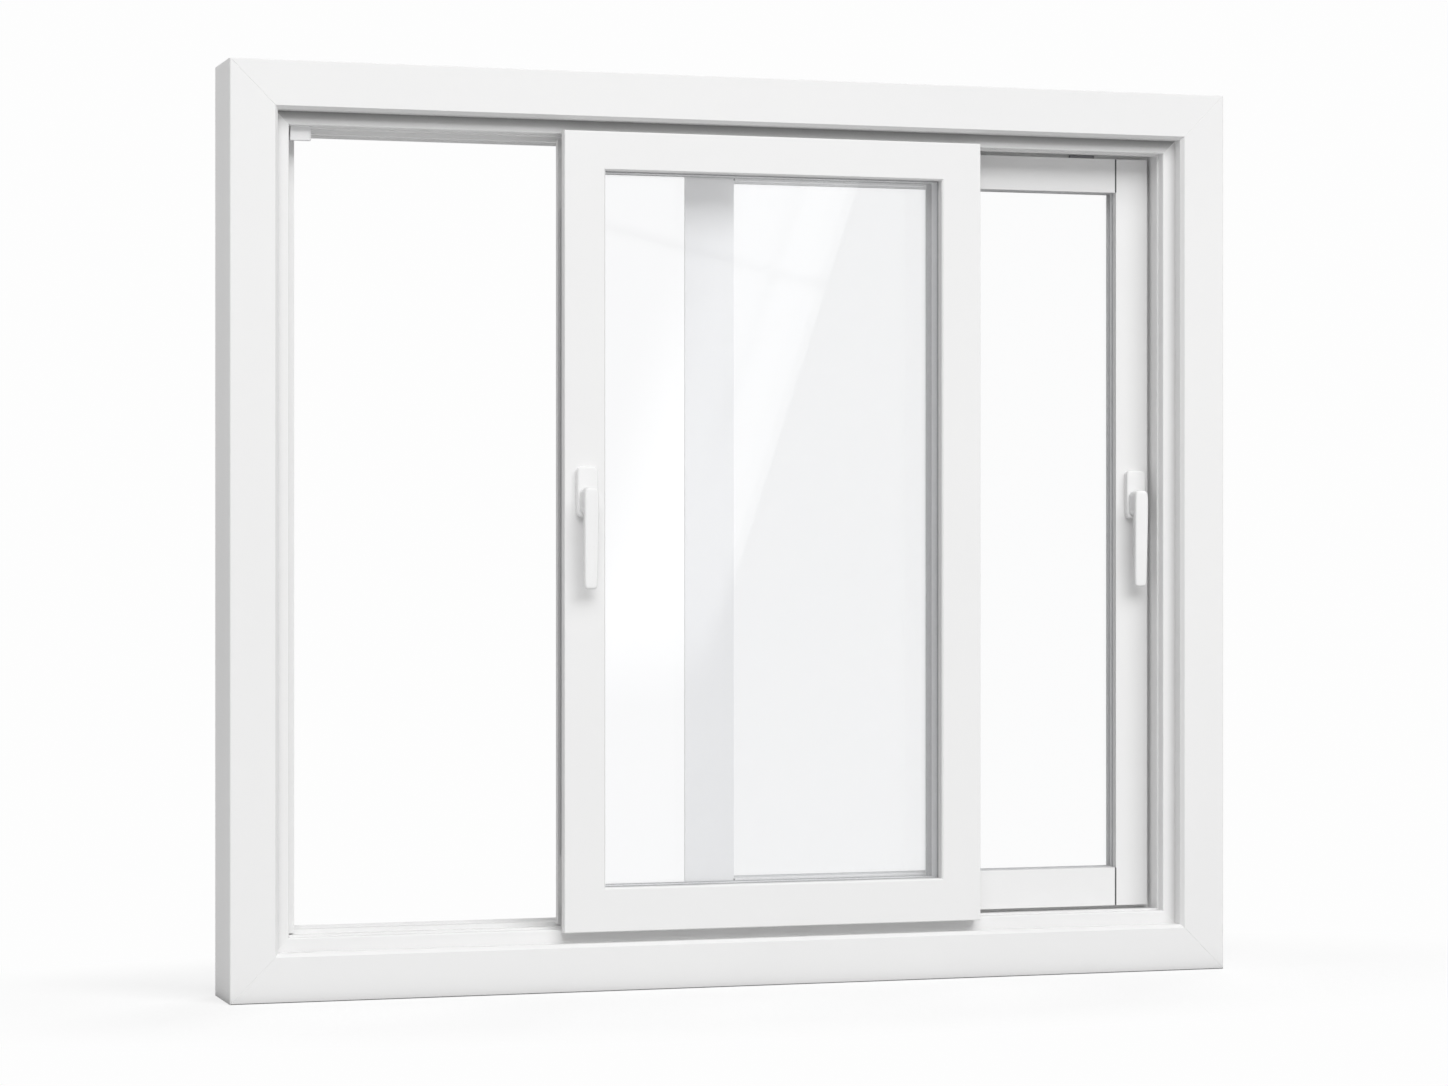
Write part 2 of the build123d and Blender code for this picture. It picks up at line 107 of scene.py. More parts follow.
class NodeSheet:
    """A material's node tree with short ways to add and join nodes."""

    def __init__(self, name: str) -> None:
        """Start an empty material.

        Args:
            name: The material's name.
        """
        self.material = bpy.data.materials.new(name)
        self.material.use_nodes = True
        self.tree = self.material.node_tree
        self.tree.nodes.clear()
        self.output = self.add("ShaderNodeOutputMaterial")

    def add(self, kind: str, **settings: object) -> bpy.types.Node:
        """Add a node.

        Args:
            kind: The node's type name.
            settings: Properties set on the node.

        Returns:
            The new node.
        """
        node = self.tree.nodes.new(kind)
        for key, value in settings.items():
            setattr(node, key, value)
        return node

    def join(self, source: Socket, target: Socket) -> None:
        """Link one socket to another."""
        self.tree.links.new(source, target)

    def place(self, scale: Triple = (1.0, 1.0, 1.0)) -> Socket:
        """Object coordinates, stretched.

        Args:
            scale: Repeats for each metre along X, Y and Z.

        Returns:
            The vector socket.
        """
        coordinates = self.add("ShaderNodeTexCoord")
        mapping = self.add("ShaderNodeMapping")
        mapping.inputs["Scale"].default_value = scale
        self.join(coordinates.outputs["Object"], mapping.inputs["Vector"])
        return mapping.outputs["Vector"]

    def noise(self, scale: float, stretch: Triple = (1.0, 1.0, 1.0), detail: float = 3.0) -> Socket:
        """A noise pattern on Object coordinates.

        Args:
            scale: The noise's scale.
            stretch: Scale of the coordinates before it.
            detail: Octaves of finer noise.

        Returns:
            The factor socket, about 0 to 1.
        """
        texture = self.add("ShaderNodeTexNoise")
        texture.inputs["Scale"].default_value = scale
        texture.inputs["Detail"].default_value = detail
        self.join(self.place(stretch), texture.inputs["Vector"])
        return texture.outputs["Fac"]

    def map_span(self, source: Socket, before: Span, after: Span, curve: str) -> Socket:
        """Map one span of values to another, held at its ends.

        Args:
            source: The values.
            before: The span that is mapped.
            after: The span that it becomes.
            curve: The kind of curve between the ends.

        Returns:
            The mapped socket.
        """
        span = self.add("ShaderNodeMapRange", interpolation_type=curve)
        for name, value in zip(("From Min", "From Max", "To Min", "To Max"), (*before, *after)):
            span.inputs[name].default_value = value
        self.join(source, span.inputs["Value"])
        return span.outputs["Result"]

    def spread(self, source: Socket, low: float, high: float) -> Socket:
        """Map the middle of a noise pattern to a span of values.

        Args:
            source: The pattern.
            low: Value at the low end of the middle.
            high: Value at the high end of the middle.

        Returns:
            The mapped socket.
        """
        return self.map_span(source, NOISE_MIDDLE, (low, high), "LINEAR")

    def blend_colours(self, factor: Socket, first: Colour, second: Colour) -> Socket:
        """Mix two colours by a pattern.

        Args:
            factor: The pattern.
            first: Colour where it is 0.
            second: Colour where it is 1.

        Returns:
            The colour socket.
        """
        mix = self.add("ShaderNodeMix", data_type="RGBA")
        before, after = (socket for socket in mix.inputs if socket.type == "RGBA")
        before.default_value = (*first, 1.0)
        after.default_value = (*second, 1.0)
        self.join(factor, mix.inputs["Factor"])
        return next(socket for socket in mix.outputs if socket.type == "RGBA")

    def overlay(self, factor: Socket, under: Socket, over: Colour) -> Socket:
        """Lay a colour over a pattern of colours.

        Args:
            factor: How much of the colour shows.
            under: The colours below it.
            over: The colour.

        Returns:
            The colour socket.
        """
        mixed = self.blend_colours(factor, over, over)
        below = next(socket for socket in mixed.node.inputs if socket.type == "RGBA")
        self.join(under, below)
        return mixed

    def upright(self) -> Socket:
        """Tell upright faces from level ones.

        Returns:
            A socket that is 1 on upright faces and 0 on level ones.
        """
        geometry = self.add("ShaderNodeNewGeometry")
        parts = self.add("ShaderNodeSeparateXYZ")
        self.join(geometry.outputs["Normal"], parts.inputs["Vector"])
        return self.ramp(self.math("ABSOLUTE", parts.outputs["Z"]), *STEEP_TO_LEVEL, 1.0, 0.0)

    def in_front(self, end: float, blur: float = 1.0 * MM) -> Socket:
        """A socket that is 1 in front of some depth and 0 behind it.

        Args:
            end: The depth, along Y.
            blur: How far the step spreads to each side.

        Returns:
            The stepped socket.
        """
        parts = self.add("ShaderNodeSeparateXYZ")
        self.join(self.place(), parts.inputs["Vector"])
        return self.ramp(parts.outputs["Y"], end - blur, end + blur, 1.0, 0.0)

    def crease(self, reach: float, upward: float, samples: int = 24) -> Socket:
        """How open a place is towards the front of its surface and the sky.

        Args:
            reach: Distance within which other surfaces count.
            upward: How far the surface's normal is tilted to the sky for the test.
            samples: Rays for each test.

        Returns:
            A socket from 0, shut in, to about 1, open.
        """
        geometry = self.add("ShaderNodeNewGeometry")
        raised = self.add("ShaderNodeVectorMath", operation="ADD")
        raised.inputs[1].default_value = (0.0, 0.0, upward)
        self.join(geometry.outputs["Normal"], raised.inputs[0])
        straight = self.add("ShaderNodeVectorMath", operation="NORMALIZE")
        self.join(raised.outputs["Vector"], straight.inputs[0])
        test = self.add("ShaderNodeAmbientOcclusion", samples=samples, only_local=True)
        test.inputs["Distance"].default_value = reach
        self.join(straight.outputs["Vector"], test.inputs["Normal"])
        return test.outputs["AO"]

    def math(self, operation: str, first: SocketOrNumber, second: SocketOrNumber = 0.0) -> Socket:
        """Do a sum on one or two values.

        Args:
            operation: The kind of sum.
            first: A socket or a number.
            second: A socket or a number.

        Returns:
            The result.
        """
        node = self.add("ShaderNodeMath", operation=operation)
        for value, socket in zip((first, second), node.inputs):
            if isinstance(value, float):
                socket.default_value = value
            else:
                self.join(value, socket)
        return node.outputs[0]

    def ramp(
        self, source: Socket, start: float, end: float, low: float = 0.0, high: float = 1.0
    ) -> Socket:
        """Turn a length into a soft step.

        Args:
            source: The length.
            start: Where the step starts.
            end: Where the step ends.
            low: Value before the start.
            high: Value after the end.

        Returns:
            The stepped socket.
        """
        return self.map_span(source, (start, end), (low, high), "SMOOTHSTEP")

    def bump(
        self, height: Socket, depth: float, strength: float, under: Socket | None = None
    ) -> Socket:
        """Turn a pattern into a bumped normal.

        Args:
            height: The pattern.
            depth: Height of the bumps in metres.
            strength: Share of the bump that is kept.
            under: A bumped normal that this one adds to.

        Returns:
            The normal socket.
        """
        node = self.add("ShaderNodeBump")
        node.inputs["Strength"].default_value = strength
        node.inputs["Distance"].default_value = depth
        self.join(height, node.inputs["Height"])
        if under is not None:
            self.join(under, node.inputs["Normal"])
        return node.outputs["Normal"]

    def surface(self, shader: bpy.types.Node) -> bpy.types.Material:
        """Show a shader.

        Args:
            shader: The node that the output shows.

        Returns:
            The finished material.
        """
        self.join(shader.outputs[0], self.output.inputs["Surface"])
        return self.material


@dataclass(frozen=True)
class ExtrudedPlastic:
    """White window plastic with faint draw lines along its run, and painted shade in its creases where they
    are shut in from the front and the sky.
    """

    name: str
    run: Run
    colour: Colour = (0.815, 0.814, 0.812)
    shade: Colour = (0.795, 0.794, 0.794)
    cloud_scale: float = 2.2
    roughness: Span = (0.38, 0.46)
    gloss: float = 1.5
    line_depth: float = 0.000006
    line_strength: float = 0.25
    grain_scale: float = 900.0
    grain_depth: float = 0.00001
    grain_strength: float = 0.2
    # Colour of the painted shade in the creases
    painted_shade: Colour = (0.5, 0.5, 0.5)
    crease_tilt: float = 0.8
    crease_reach: float = 0.04
    crease_span: Span = (0.2, 0.8)
    crease_end: float = 1.0

    def material(self) -> bpy.types.Material:
        """Make the finish.

        Returns:
            Its material.
        """
        sheet = NodeSheet(self.name)
        shader = sheet.add("ShaderNodeBsdfPrincipled")
        lines = sheet.noise(1.0, self.run.value)
        grain = sheet.noise(self.grain_scale)
        cloud = sheet.spread(sheet.noise(self.cloud_scale), 0.0, 1.0)
        clean = sheet.blend_colours(cloud, self.colour, self.shade)
        # Painted shade: upright faces darken in creases shut in from the front and the sky, as light from
        # above would leave them
        openness = sheet.crease(self.crease_reach, self.crease_tilt)
        shut_in = sheet.ramp(openness, *self.crease_span, 1.0, 0.0)
        reached = sheet.math("MULTIPLY", sheet.upright(), sheet.in_front(self.crease_end))
        painted_shade_share = sheet.math("MULTIPLY", shut_in, reached)
        sheet.join(sheet.overlay(painted_shade_share, clean, self.painted_shade), shader.inputs["Base Color"])
        sheet.join(sheet.spread(lines, *self.roughness), shader.inputs["Roughness"])
        drawn = sheet.bump(lines, self.line_depth, self.line_strength)
        grained = sheet.bump(grain, self.grain_depth, self.grain_strength, drawn)
        sheet.join(grained, shader.inputs["Normal"])
        shader.inputs["IOR"].default_value = self.gloss
        return sheet.surface(shader)


@dataclass(frozen=True)
class PowderCoat:
    """White powder coat with fine orange peel, on the handles."""

    name: str
    colour: Colour = (0.83, 0.83, 0.828)
    shade: Colour = (0.81, 0.81, 0.81)
    patch_scale: float = 18.0
    roughness: Span = (0.27, 0.33)
    peel_scale: float = 650.0
    peel_depth: float = 0.000006
    peel_strength: float = 0.25

    def material(self) -> bpy.types.Material:
        """Make the finish.

        Returns:
            Its material.
        """
        sheet = NodeSheet(self.name)
        shader = sheet.add("ShaderNodeBsdfPrincipled")
        peel = sheet.noise(self.peel_scale, detail=2.0)
        patch = sheet.spread(sheet.noise(self.patch_scale), 0.0, 1.0)
        sheet.join(sheet.blend_colours(patch, self.colour, self.shade), shader.inputs["Base Color"])
        sheet.join(sheet.spread(peel, *self.roughness), shader.inputs["Roughness"])
        sheet.join(sheet.bump(peel, self.peel_depth, self.peel_strength), shader.inputs["Normal"])
        return sheet.surface(shader)


@dataclass(frozen=True)
class MouldedPlastic:
    """Moulded plastic with a fine spark texture: buffers, rollers and guides."""

    name: str
    colour: Colour
    shade: Colour
    patch_scale: float = 30.0
    roughness: Span = (0.42, 0.58)
    grain_scale: float = 1400.0
    grain_depth: float = 0.0001
    grain_strength: float = 0.3

    def material(self) -> bpy.types.Material:
        """Make the finish.

        Returns:
            Its material.
        """
        sheet = NodeSheet(self.name)
        shader = sheet.add("ShaderNodeBsdfPrincipled")
        grain = sheet.noise(self.grain_scale, detail=2.0)
        patch = sheet.spread(sheet.noise(self.patch_scale), 0.0, 1.0)
        sheet.join(sheet.blend_colours(patch, self.colour, self.shade), shader.inputs["Base Color"])
        sheet.join(sheet.spread(grain, *self.roughness), shader.inputs["Roughness"])
        sheet.join(sheet.bump(grain, self.grain_depth, self.grain_strength), shader.inputs["Normal"])
        return sheet.surface(shader)


@dataclass(frozen=True)
class FloatGlass:
    """A clear pane with a faint cool tint, which lets lamplight through."""

    name: str
    tint: Colour
    gloss: float
    wave_scale: float = 3.0
    pale_share: float = 0.85

    def material(self) -> bpy.types.Material:
        """Make the finish.

        Returns:
            Its material.
        """
        sheet = NodeSheet(self.name)
        shader = sheet.add("ShaderNodeBsdfPrincipled")
        shader.inputs["Transmission Weight"].default_value = 1.0
        shader.inputs["Roughness"].default_value = 0.0
        shader.inputs["IOR"].default_value = self.gloss
        hue = sheet.spread(sheet.noise(self.wave_scale, detail=1.0), 0.0, 1.0)
        paler = tuple(1 - (1 - c) * self.pale_share for c in self.tint)
        sheet.join(sheet.blend_colours(hue, self.tint, paler), shader.inputs["Base Color"])
        # Shadows and bounced light pass straight through, so the glass does not darken what is behind it
        lamplight = sheet.add("ShaderNodeBsdfTransparent")
        lamplight.inputs["Color"].default_value = (*self.tint, 1.0)
        path = sheet.add("ShaderNodeLightPath")
        unseen = sheet.math("MAXIMUM", path.outputs["Is Shadow Ray"], path.outputs["Is Diffuse Ray"])
        mix = sheet.add("ShaderNodeMixShader")
        sheet.join(unseen, mix.inputs[0])
        sheet.join(shader.outputs[0], mix.inputs[1])
        sheet.join(lamplight.outputs[0], mix.inputs[2])
        return sheet.surface(mix)


@dataclass(frozen=True)
class DrawnMetal:
    """Metal with fine lines along its length, bare or anodised: spacer bars and the lock strip."""

    name: str
    colour: Colour
    shade: Colour
    roughness: Span
    bare: float = 1.0
    run: Run = Run.ALONG_Z
    tarnish_scale: float = 24.0
    line_scale: float = 2.0
    line_depth: float = 0.00005
    line_strength: float = 0.3

    def material(self) -> bpy.types.Material:
        """Make the finish.

        Returns:
            Its material.
        """
        sheet = NodeSheet(self.name)
        shader = sheet.add("ShaderNodeBsdfPrincipled")
        shader.inputs["Metallic"].default_value = self.bare
        lines = sheet.noise(self.line_scale, self.run.value)
        tarnish = sheet.spread(sheet.noise(self.tarnish_scale), 0.0, 1.0)
        sheet.join(sheet.blend_colours(tarnish, self.colour, self.shade), shader.inputs["Base Color"])
        sheet.join(sheet.spread(lines, *self.roughness), shader.inputs["Roughness"])
        sheet.join(sheet.bump(lines, self.line_depth, self.line_strength), shader.inputs["Normal"])
        return sheet.surface(shader)


@dataclass(frozen=True)
class SealRubber:
    """Grey seal rubber with a dull, slightly uneven skin."""

    name: str
    colour: Colour
    shade: Colour
    roughness: Span = (0.6, 0.8)
    skin_scale: float = 500.0
    skin_depth: float = 0.0001
    skin_strength: float = 0.4

    def material(self) -> bpy.types.Material:
        """Make the finish.

        Returns:
            Its material.
        """
        sheet = NodeSheet(self.name)
        shader = sheet.add("ShaderNodeBsdfPrincipled")
        skin = sheet.noise(self.skin_scale)
        sheet.join(sheet.blend_colours(skin, self.colour, self.shade), shader.inputs["Base Color"])
        sheet.join(sheet.spread(skin, *self.roughness), shader.inputs["Roughness"])
        sheet.join(sheet.bump(skin, self.skin_depth, self.skin_strength), shader.inputs["Normal"])
        return sheet.surface(shader)


class Finishes:
    """One material for each finish of the window."""

    def __init__(self) -> None:
        """Make every finish once."""
        # The head and sill get the darker painted shade in their creases
        self.level_frame = ExtrudedPlastic(
            "level_frame", Run.ALONG_X, painted_shade=DEEP_PAINTED_SHADE, crease_end=FRAME_STEP_BACK
        ).material()
        self.upright_frame = ExtrudedPlastic(
            "upright_frame", Run.ALONG_Z, crease_end=FRAME_STEP_BACK
        ).material()
        self.level_sash = ExtrudedPlastic("level_sash", Run.ALONG_X).material()
        self.upright_sash = ExtrudedPlastic("upright_sash", Run.ALONG_Z).material()
        self.handle = PowderCoat("handle_coat").material()
        self.buffer = MouldedPlastic("buffer_plastic", (0.85, 0.85, 0.85), (0.82, 0.82, 0.83)).material()
        self.running_gear = MouldedPlastic("grey_nylon", (0.62, 0.62, 0.63), (0.56, 0.56, 0.57)).material()
        self.guides = MouldedPlastic("dark_nylon", (0.24, 0.24, 0.25), (0.2, 0.2, 0.21)).material()
        self.front_glass = FloatGlass("front_glass", (0.985, 0.987, 0.991), 1.9).material()
        self.rear_glass = FloatGlass("rear_glass", (0.996, 0.997, 0.998), 1.45).material()
        self.spacer = DrawnMetal(
            "spacer_bar", (0.9, 0.905, 0.91), (0.85, 0.855, 0.86), roughness=(0.5, 0.62), bare=0.15
        ).material()
        self.lock_steel = DrawnMetal(
            "zinc_plate", (0.55, 0.55, 0.56), (0.45, 0.45, 0.47), roughness=(0.28, 0.5)
        ).material()
        self.front_gasket = SealRubber("front_seal", (0.42, 0.42, 0.43), (0.37, 0.37, 0.38)).material()
        self.joint_dark_strip = SealRubber("joint_dark_strip", (0.1, 0.1, 0.1), (0.07, 0.07, 0.07)).material()
        self.rear_gasket = SealRubber("rear_seal", (0.55, 0.55, 0.56), (0.5, 0.5, 0.51)).material()

    def of_node(self, node: str) -> bpy.types.Material:
        """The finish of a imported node, from its name.

        Args:
            node: The node's name.

        Returns:
            The material for it.
        """
        in_front = node.startswith("front")
        if node.endswith("_pane"):
            return self.front_glass if in_front else self.rear_glass
        if node.endswith("_glass_gaskets"):
            return self.front_gasket if in_front else self.rear_gasket
        endings = {
            "_pane_spacer": self.spacer,
            "_handle_rosette": self.handle,
            "_handle_lever": self.handle,
            "_lock_strip": self.lock_steel,
            "_rollers": self.running_gear,
            "_guides": self.guides,
            "_end_block": self.buffer,
            "_sill": self.level_frame,
            "_head": self.level_frame,
            "_jamb": self.upright_frame,
            "_cover": self.upright_frame,
            "_rail": self.level_sash,
            "_top_bead": self.level_sash,
            "_bottom_bead": self.level_sash,
        }
        for ending, material in endings.items():
            if node.endswith(ending):
                return material
        return self.upright_sash

    def dress(self, node: str) -> None:
        """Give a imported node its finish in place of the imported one.

        Args:
            node: The node's name.
        """
        piece = frame["nodes"][node]
        piece.data.materials.clear()
        piece.data.materials.append(self.of_node(node))
        LOG.info("dressed %s", node)


class Bench:
    """Modelling by hand on one piece: start a block, pick faces or edges, shape them, finish it."""

    def __init__(self, name: str, low: Vector, high: Vector) -> None:
        """Start from a block between two corners, with its place in its mesh.

        Args:
            name: The piece's name.
            low: The block's lowest corner.
            high: The block's highest corner.
        """
        bpy.ops.object.select_all(action="DESELECT")
        bpy.ops.mesh.primitive_cube_add(size=1.0, location=(low + high) / 2, scale=high - low)
        self.piece = bpy.context.object
        self.piece.name = name
        self.piece.data.name = name
        bpy.ops.object.transform_apply(location=True, rotation=True, scale=True)
        bpy.ops.object.mode_set(mode="EDIT")

    def pick_faces(self, wanted: Callable[[bmesh.types.BMFace], bool]) -> None:
        """Select the faces that pass a test, and no others.

        Args:
            wanted: The test.
        """
        bpy.ops.mesh.select_mode(type="FACE")
        bpy.ops.mesh.select_all(action="DESELECT")
        mesh = bmesh.from_edit_mesh(self.piece.data)
        for face in mesh.faces:
            face.select_set(wanted(face))
        mesh.select_flush_mode()
        bmesh.update_edit_mesh(self.piece.data)

    def pick_edges(self, wanted: Callable[[bmesh.types.BMEdge], bool]) -> None:
        """Select the edges that pass a test, and no others.

        Args:
            wanted: The test.
        """
        bpy.ops.mesh.select_mode(type="EDGE")
        bpy.ops.mesh.select_all(action="DESELECT")
        mesh = bmesh.from_edit_mesh(self.piece.data)
        for edge in mesh.edges:
            edge.select_set(wanted(edge))
        mesh.select_flush_mode()
        bmesh.update_edit_mesh(self.piece.data)

    def draw_out(self, start: Vector, end: Vector, scale: Triple = (1.0, 1.0, 1.0)) -> None:
        """Extrude the picked face from its middle to a new middle, and resize it there.

        Args:
            start: Middle of the picked face.
            end: Middle of the new face.
            scale: Size of the new face as a share of the old one.
        """
        bpy.ops.mesh.extrude_region_move(TRANSFORM_OT_translate={"value": end - start})
        bpy.ops.transform.resize(value=scale, center_override=end)

    def round_off(self, width: float, steps: int) -> None:
        """Bevel the picked edges into a round of some width and number of steps."""
        bpy.ops.mesh.bevel(offset=width, segments=steps, profile=0.5, affect="EDGES", clamp_overlap=True)

    def finish(self, smoothing: int = 0, flat_above: float = 180.0) -> bpy.types.Object:
        """Close the mesh, turn its faces outwards and smooth it.

        Args:
            smoothing: Levels of subdivision.
            flat_above: Angle in degrees above which an edge stays sharp.

        Returns:
            The finished piece.
        """
        bpy.ops.mesh.select_all(action="SELECT")
        bpy.ops.mesh.remove_doubles(threshold=MERGE_DISTANCE)
        bpy.ops.mesh.normals_make_consistent(inside=False)
        bpy.ops.object.mode_set(mode="OBJECT")
        if smoothing:
            softer = self.piece.modifiers.new("softer", "SUBSURF")
            softer.levels = smoothing
            softer.render_levels = smoothing
            bpy.ops.object.modifier_apply(modifier=softer.name)
        bpy.ops.object.shade_smooth_by_angle(angle=math.radians(flat_above))
        return self.piece


def along(edge: bmesh.types.BMEdge, axis: Vector) -> bool:
    """Whether an edge runs along an axis."""
    first, second = edge.verts
    return abs((second.co - first.co).normalized().dot(axis)) > PARALLEL


def lies(edge: bmesh.types.BMEdge, axis: int, above: float = -math.inf, below: float = math.inf) -> bool:
    """Whether both ends of an edge lie between two places along an axis."""
    return all(above < corner.co[axis] < below for corner in edge.verts)


def is_corner(edge: bmesh.types.BMEdge) -> bool:
    """Whether the faces at an edge meet at a corner that wants rounding."""
    return len(edge.link_faces) == 2 and edge.calc_face_angle() > math.radians(CORNER_ANGLE)


@dataclass
class LeverHandle:
    """A hanging lever on its rosette, on the face of one sash."""

    prefix: str
    finish: bpy.types.Material
    rosette_width: float = 28.0 * MM
    rosette_height: float = 66.0 * MM
    rosette_rise: float = 8.0 * MM
    rosette_thickness: float = 10.0 * MM
    rosette_corner: float = 7.0 * MM
    rosette_corner_steps: int = 6
    rosette_edge: float = 2.4 * MM
    rosette_edge_steps: int = 4
    head_rise: float = 13.5 * MM
    neck_rise: float = 12.9 * MM
    neck_drop: float = 22.0 * MM
    neck_width: float = 18.0 * MM
    neck_flare: float = 1.22
    neck_corner: float = 8.8 * MM
    neck_head_steps: int = 5
    neck_corner_steps: int = 7
    neck_bite: float = 4.0 * MM
    neck_start: float = 10.5 * MM
    reach: float = 30.4 * MM
    reach_middle: float = 29.4 * MM
    reach_end: float = 26.8 * MM
    thickness: float = 11.0 * MM
    thickness_middle: float = 10.0 * MM
    thickness_end: float = 8.6 * MM
    width: float = 19.6 * MM
    width_middle: float = 19.2 * MM
    width_end: float = 17.8 * MM
    bend_drop: float = 58.0 * MM
    length: float = 119.0 * MM
    head_corner: float = 7.0 * MM
    end_corner: float = 5.0 * MM
    soft_edge: float = 3.2 * MM
    lever_steps: int = 3
    lever_smoothing: int = 2

    @property
    def pivot(self) -> Vector:
        """Where the lever's axis meets the face of the sash."""
        joint = next(j for j in frame["joints"] if j["name"] == f"{self.prefix}_handle_turn")
        return Vector(joint["pos_m"])

    def build_rosette(self) -> bpy.types.Object:
        """Round a block into the rosette.

        Returns:
            The rosette.
        """
        middle = self.pivot + Vector((0.0, -self.rosette_thickness / 2, self.rosette_rise))
        half = Vector((self.rosette_width, self.rosette_thickness, self.rosette_height)) / 2
        bench = Bench(f"{self.prefix}_rosette_cover", middle - half, middle + half)
        bench.pick_edges(lambda edge: along(edge, DEPTH_AXIS))
        bench.round_off(self.rosette_corner, self.rosette_corner_steps)
        front = middle.y - half.y + 0.1 * MM
        bench.pick_edges(lambda edge: lies(edge, Y, below=front))
        bench.round_off(self.rosette_edge, self.rosette_edge_steps)
        return bench.finish(flat_above=SHARP_ANGLE)

    def build_neck(self) -> bpy.types.Object:
        """Round a block into the neck and widen its foot.

        Returns:
            The neck, which reaches into the lever.
        """
        pivot = self.pivot
        head_back = pivot.y - self.reach + self.thickness
        low = Vector((pivot.x - self.neck_width / 2, head_back - self.neck_bite, pivot.z - self.neck_drop))
        high = Vector((pivot.x + self.neck_width / 2, pivot.y - self.neck_start, pivot.z + self.neck_rise))
        bench = Bench(f"{self.prefix}_neck", low, high)
        bench.pick_edges(lambda edge: along(edge, DEPTH_AXIS) and lies(edge, Z, above=pivot.z))
        bench.round_off(self.head_corner, self.neck_head_steps)
        bench.pick_edges(lambda edge: along(edge, DEPTH_AXIS) and lies(edge, Z, below=low.z + MM))
        bench.round_off(self.neck_corner, self.neck_corner_steps)
        bench.pick_faces(lambda face: face.normal.y > FACING)
        foot = Vector((pivot.x, high.y, pivot.z))
        bpy.ops.transform.resize(value=(self.neck_flare, 1.0, 1.0), center_override=foot)
        return bench.finish(flat_above=SHARP_ANGLE)

    def build_lever(self) -> bpy.types.Object:
        """Draw the lever down from its head, soften all its edges and join the neck to its back.

        Returns:
            The lever.
        """
        pivot = self.pivot
        top = pivot.z + self.head_rise
        front = pivot.y - self.reach
        back = front + self.thickness
        low = Vector((pivot.x - self.width / 2, front, pivot.z - self.head_rise))
        high = Vector((pivot.x + self.width / 2, back, top))
        bench = Bench(f"{self.prefix}_lever", low, high)

        bench.pick_faces(lambda face: face.normal.z < -FACING)
        start = Vector((pivot.x, (front + back) / 2, low.z))
        bend_depth = pivot.y - self.reach_middle + self.thickness_middle / 2
        bend = Vector((pivot.x, bend_depth, pivot.z - self.bend_drop))
        narrowing = (self.width_middle / self.width, self.thickness_middle / self.thickness, 1.0)
        bench.draw_out(start, bend, narrowing)
        end_depth = pivot.y - self.reach_end + self.thickness_end / 2
        end = Vector((pivot.x, end_depth, pivot.z - self.length))
        narrowing = (self.width_end / self.width_middle, self.thickness_end / self.thickness_middle, 1.0)
        bench.draw_out(bend, end, narrowing)

        bench.pick_edges(lambda edge: along(edge, DEPTH_AXIS) and lies(edge, Z, above=top - MM))
        bench.round_off(self.head_corner, self.lever_steps)
        bench.pick_edges(
            lambda edge: abs(edge.verts[0].co.x - edge.verts[1].co.x) < MM
            and lies(edge, Z, below=end.z + MM)
        )
        bench.round_off(self.end_corner, self.lever_steps)
        bench.pick_edges(is_corner)
        bench.round_off(self.soft_edge, self.lever_steps)
        lever = bench.finish(smoothing=self.lever_smoothing)

        neck = self.build_neck()
        bpy.ops.object.select_all(action="DESELECT")
        lever.select_set(True)
        bpy.context.view_layer.objects.active = lever
        union = lever.modifiers.new("neck_joint", "BOOLEAN")
        union.operation = "UNION"
        union.solver = "EXACT"
        union.object = neck
        bpy.ops.object.modifier_apply(modifier=union.name)
        bpy.data.objects.remove(neck)
        bpy.ops.object.shade_smooth_by_angle(angle=math.radians(SHARP_ANGLE))
        return lever

    def build(self) -> None:
        """Build both pieces, dress them and hang them on their bodies."""
        rosette = self.build_rosette()
        lever = self.build_lever()
        for piece, node, body in (
            (rosette, f"{self.prefix}_handle_rosette", f"{self.prefix}_sash"),
            (lever, f"{self.prefix}_handle_lever", f"{self.prefix}_handle"),
        ):
            piece.data.materials.append(self.finish)
            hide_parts(node)
            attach(piece, body)
            LOG.info("built %s, %d faces", piece.name, len(piece.data.polygons))


@dataclass
class RailJoints:
    """Dark strips in the grooves where the rear rails are let in between their stiles, which make the joint
    lines dark.
    """

    finish: bpy.types.Material
    groove: float = 1.2 * MM
    play: float = 0.1 * MM
    bottom: float = 5.8 * MM
    lip_width: float = 2.2 * MM
    lip_proud: float = 0.25 * MM
    lip_round: float = 0.2 * MM
    lip_steps: int = 2

    def build_dark_strip(self, rail: str, side: str) -> bpy.types.Object:
        """Make the dark strip at one end of a rail.

        Args:
            rail: The rail's node.
            side: The end, left or right.

        Returns:
            The dark strip.
        """
        low, high = (Vector(corner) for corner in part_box(rail))
        middle = low.x + self.groove / 2 if side == "left" else high.x - self.groove / 2
        half = self.lip_width / 2
        start = Vector((middle - half, low.y - self.lip_proud, low.z + self.play))
        end = Vector((middle + half, low.y, high.z - self.play))
        bench = Bench(f"{rail}_{side}_seal", start, end)
        bench.pick_faces(lambda face: face.normal.y > FACING)
        bpy.ops.mesh.inset(thickness=half - self.groove / 2 + self.play, depth=0.0)
        centre = Vector((middle, low.y, (start.z + end.z) / 2))
        bench.draw_out(centre, centre + Vector((0.0, self.bottom, 0.0)))
        bench.pick_edges(lambda edge: is_corner(edge) and lies(edge, Y, below=low.y - self.play))
        bench.round_off(self.lip_round, self.lip_steps)
        return bench.finish(flat_above=SHARP_ANGLE)

    def build(self) -> None:
        """Make all four dark strips and hang them on the rear sash."""
        for rail in ("rear_sash_top_rail", "rear_sash_bottom_rail"):
            for side in ("left", "right"):
                seal = self.build_dark_strip(rail, side)
                seal.data.materials.append(self.finish)
                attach(seal, "rear_sash")
                LOG.info("built %s", seal.name)


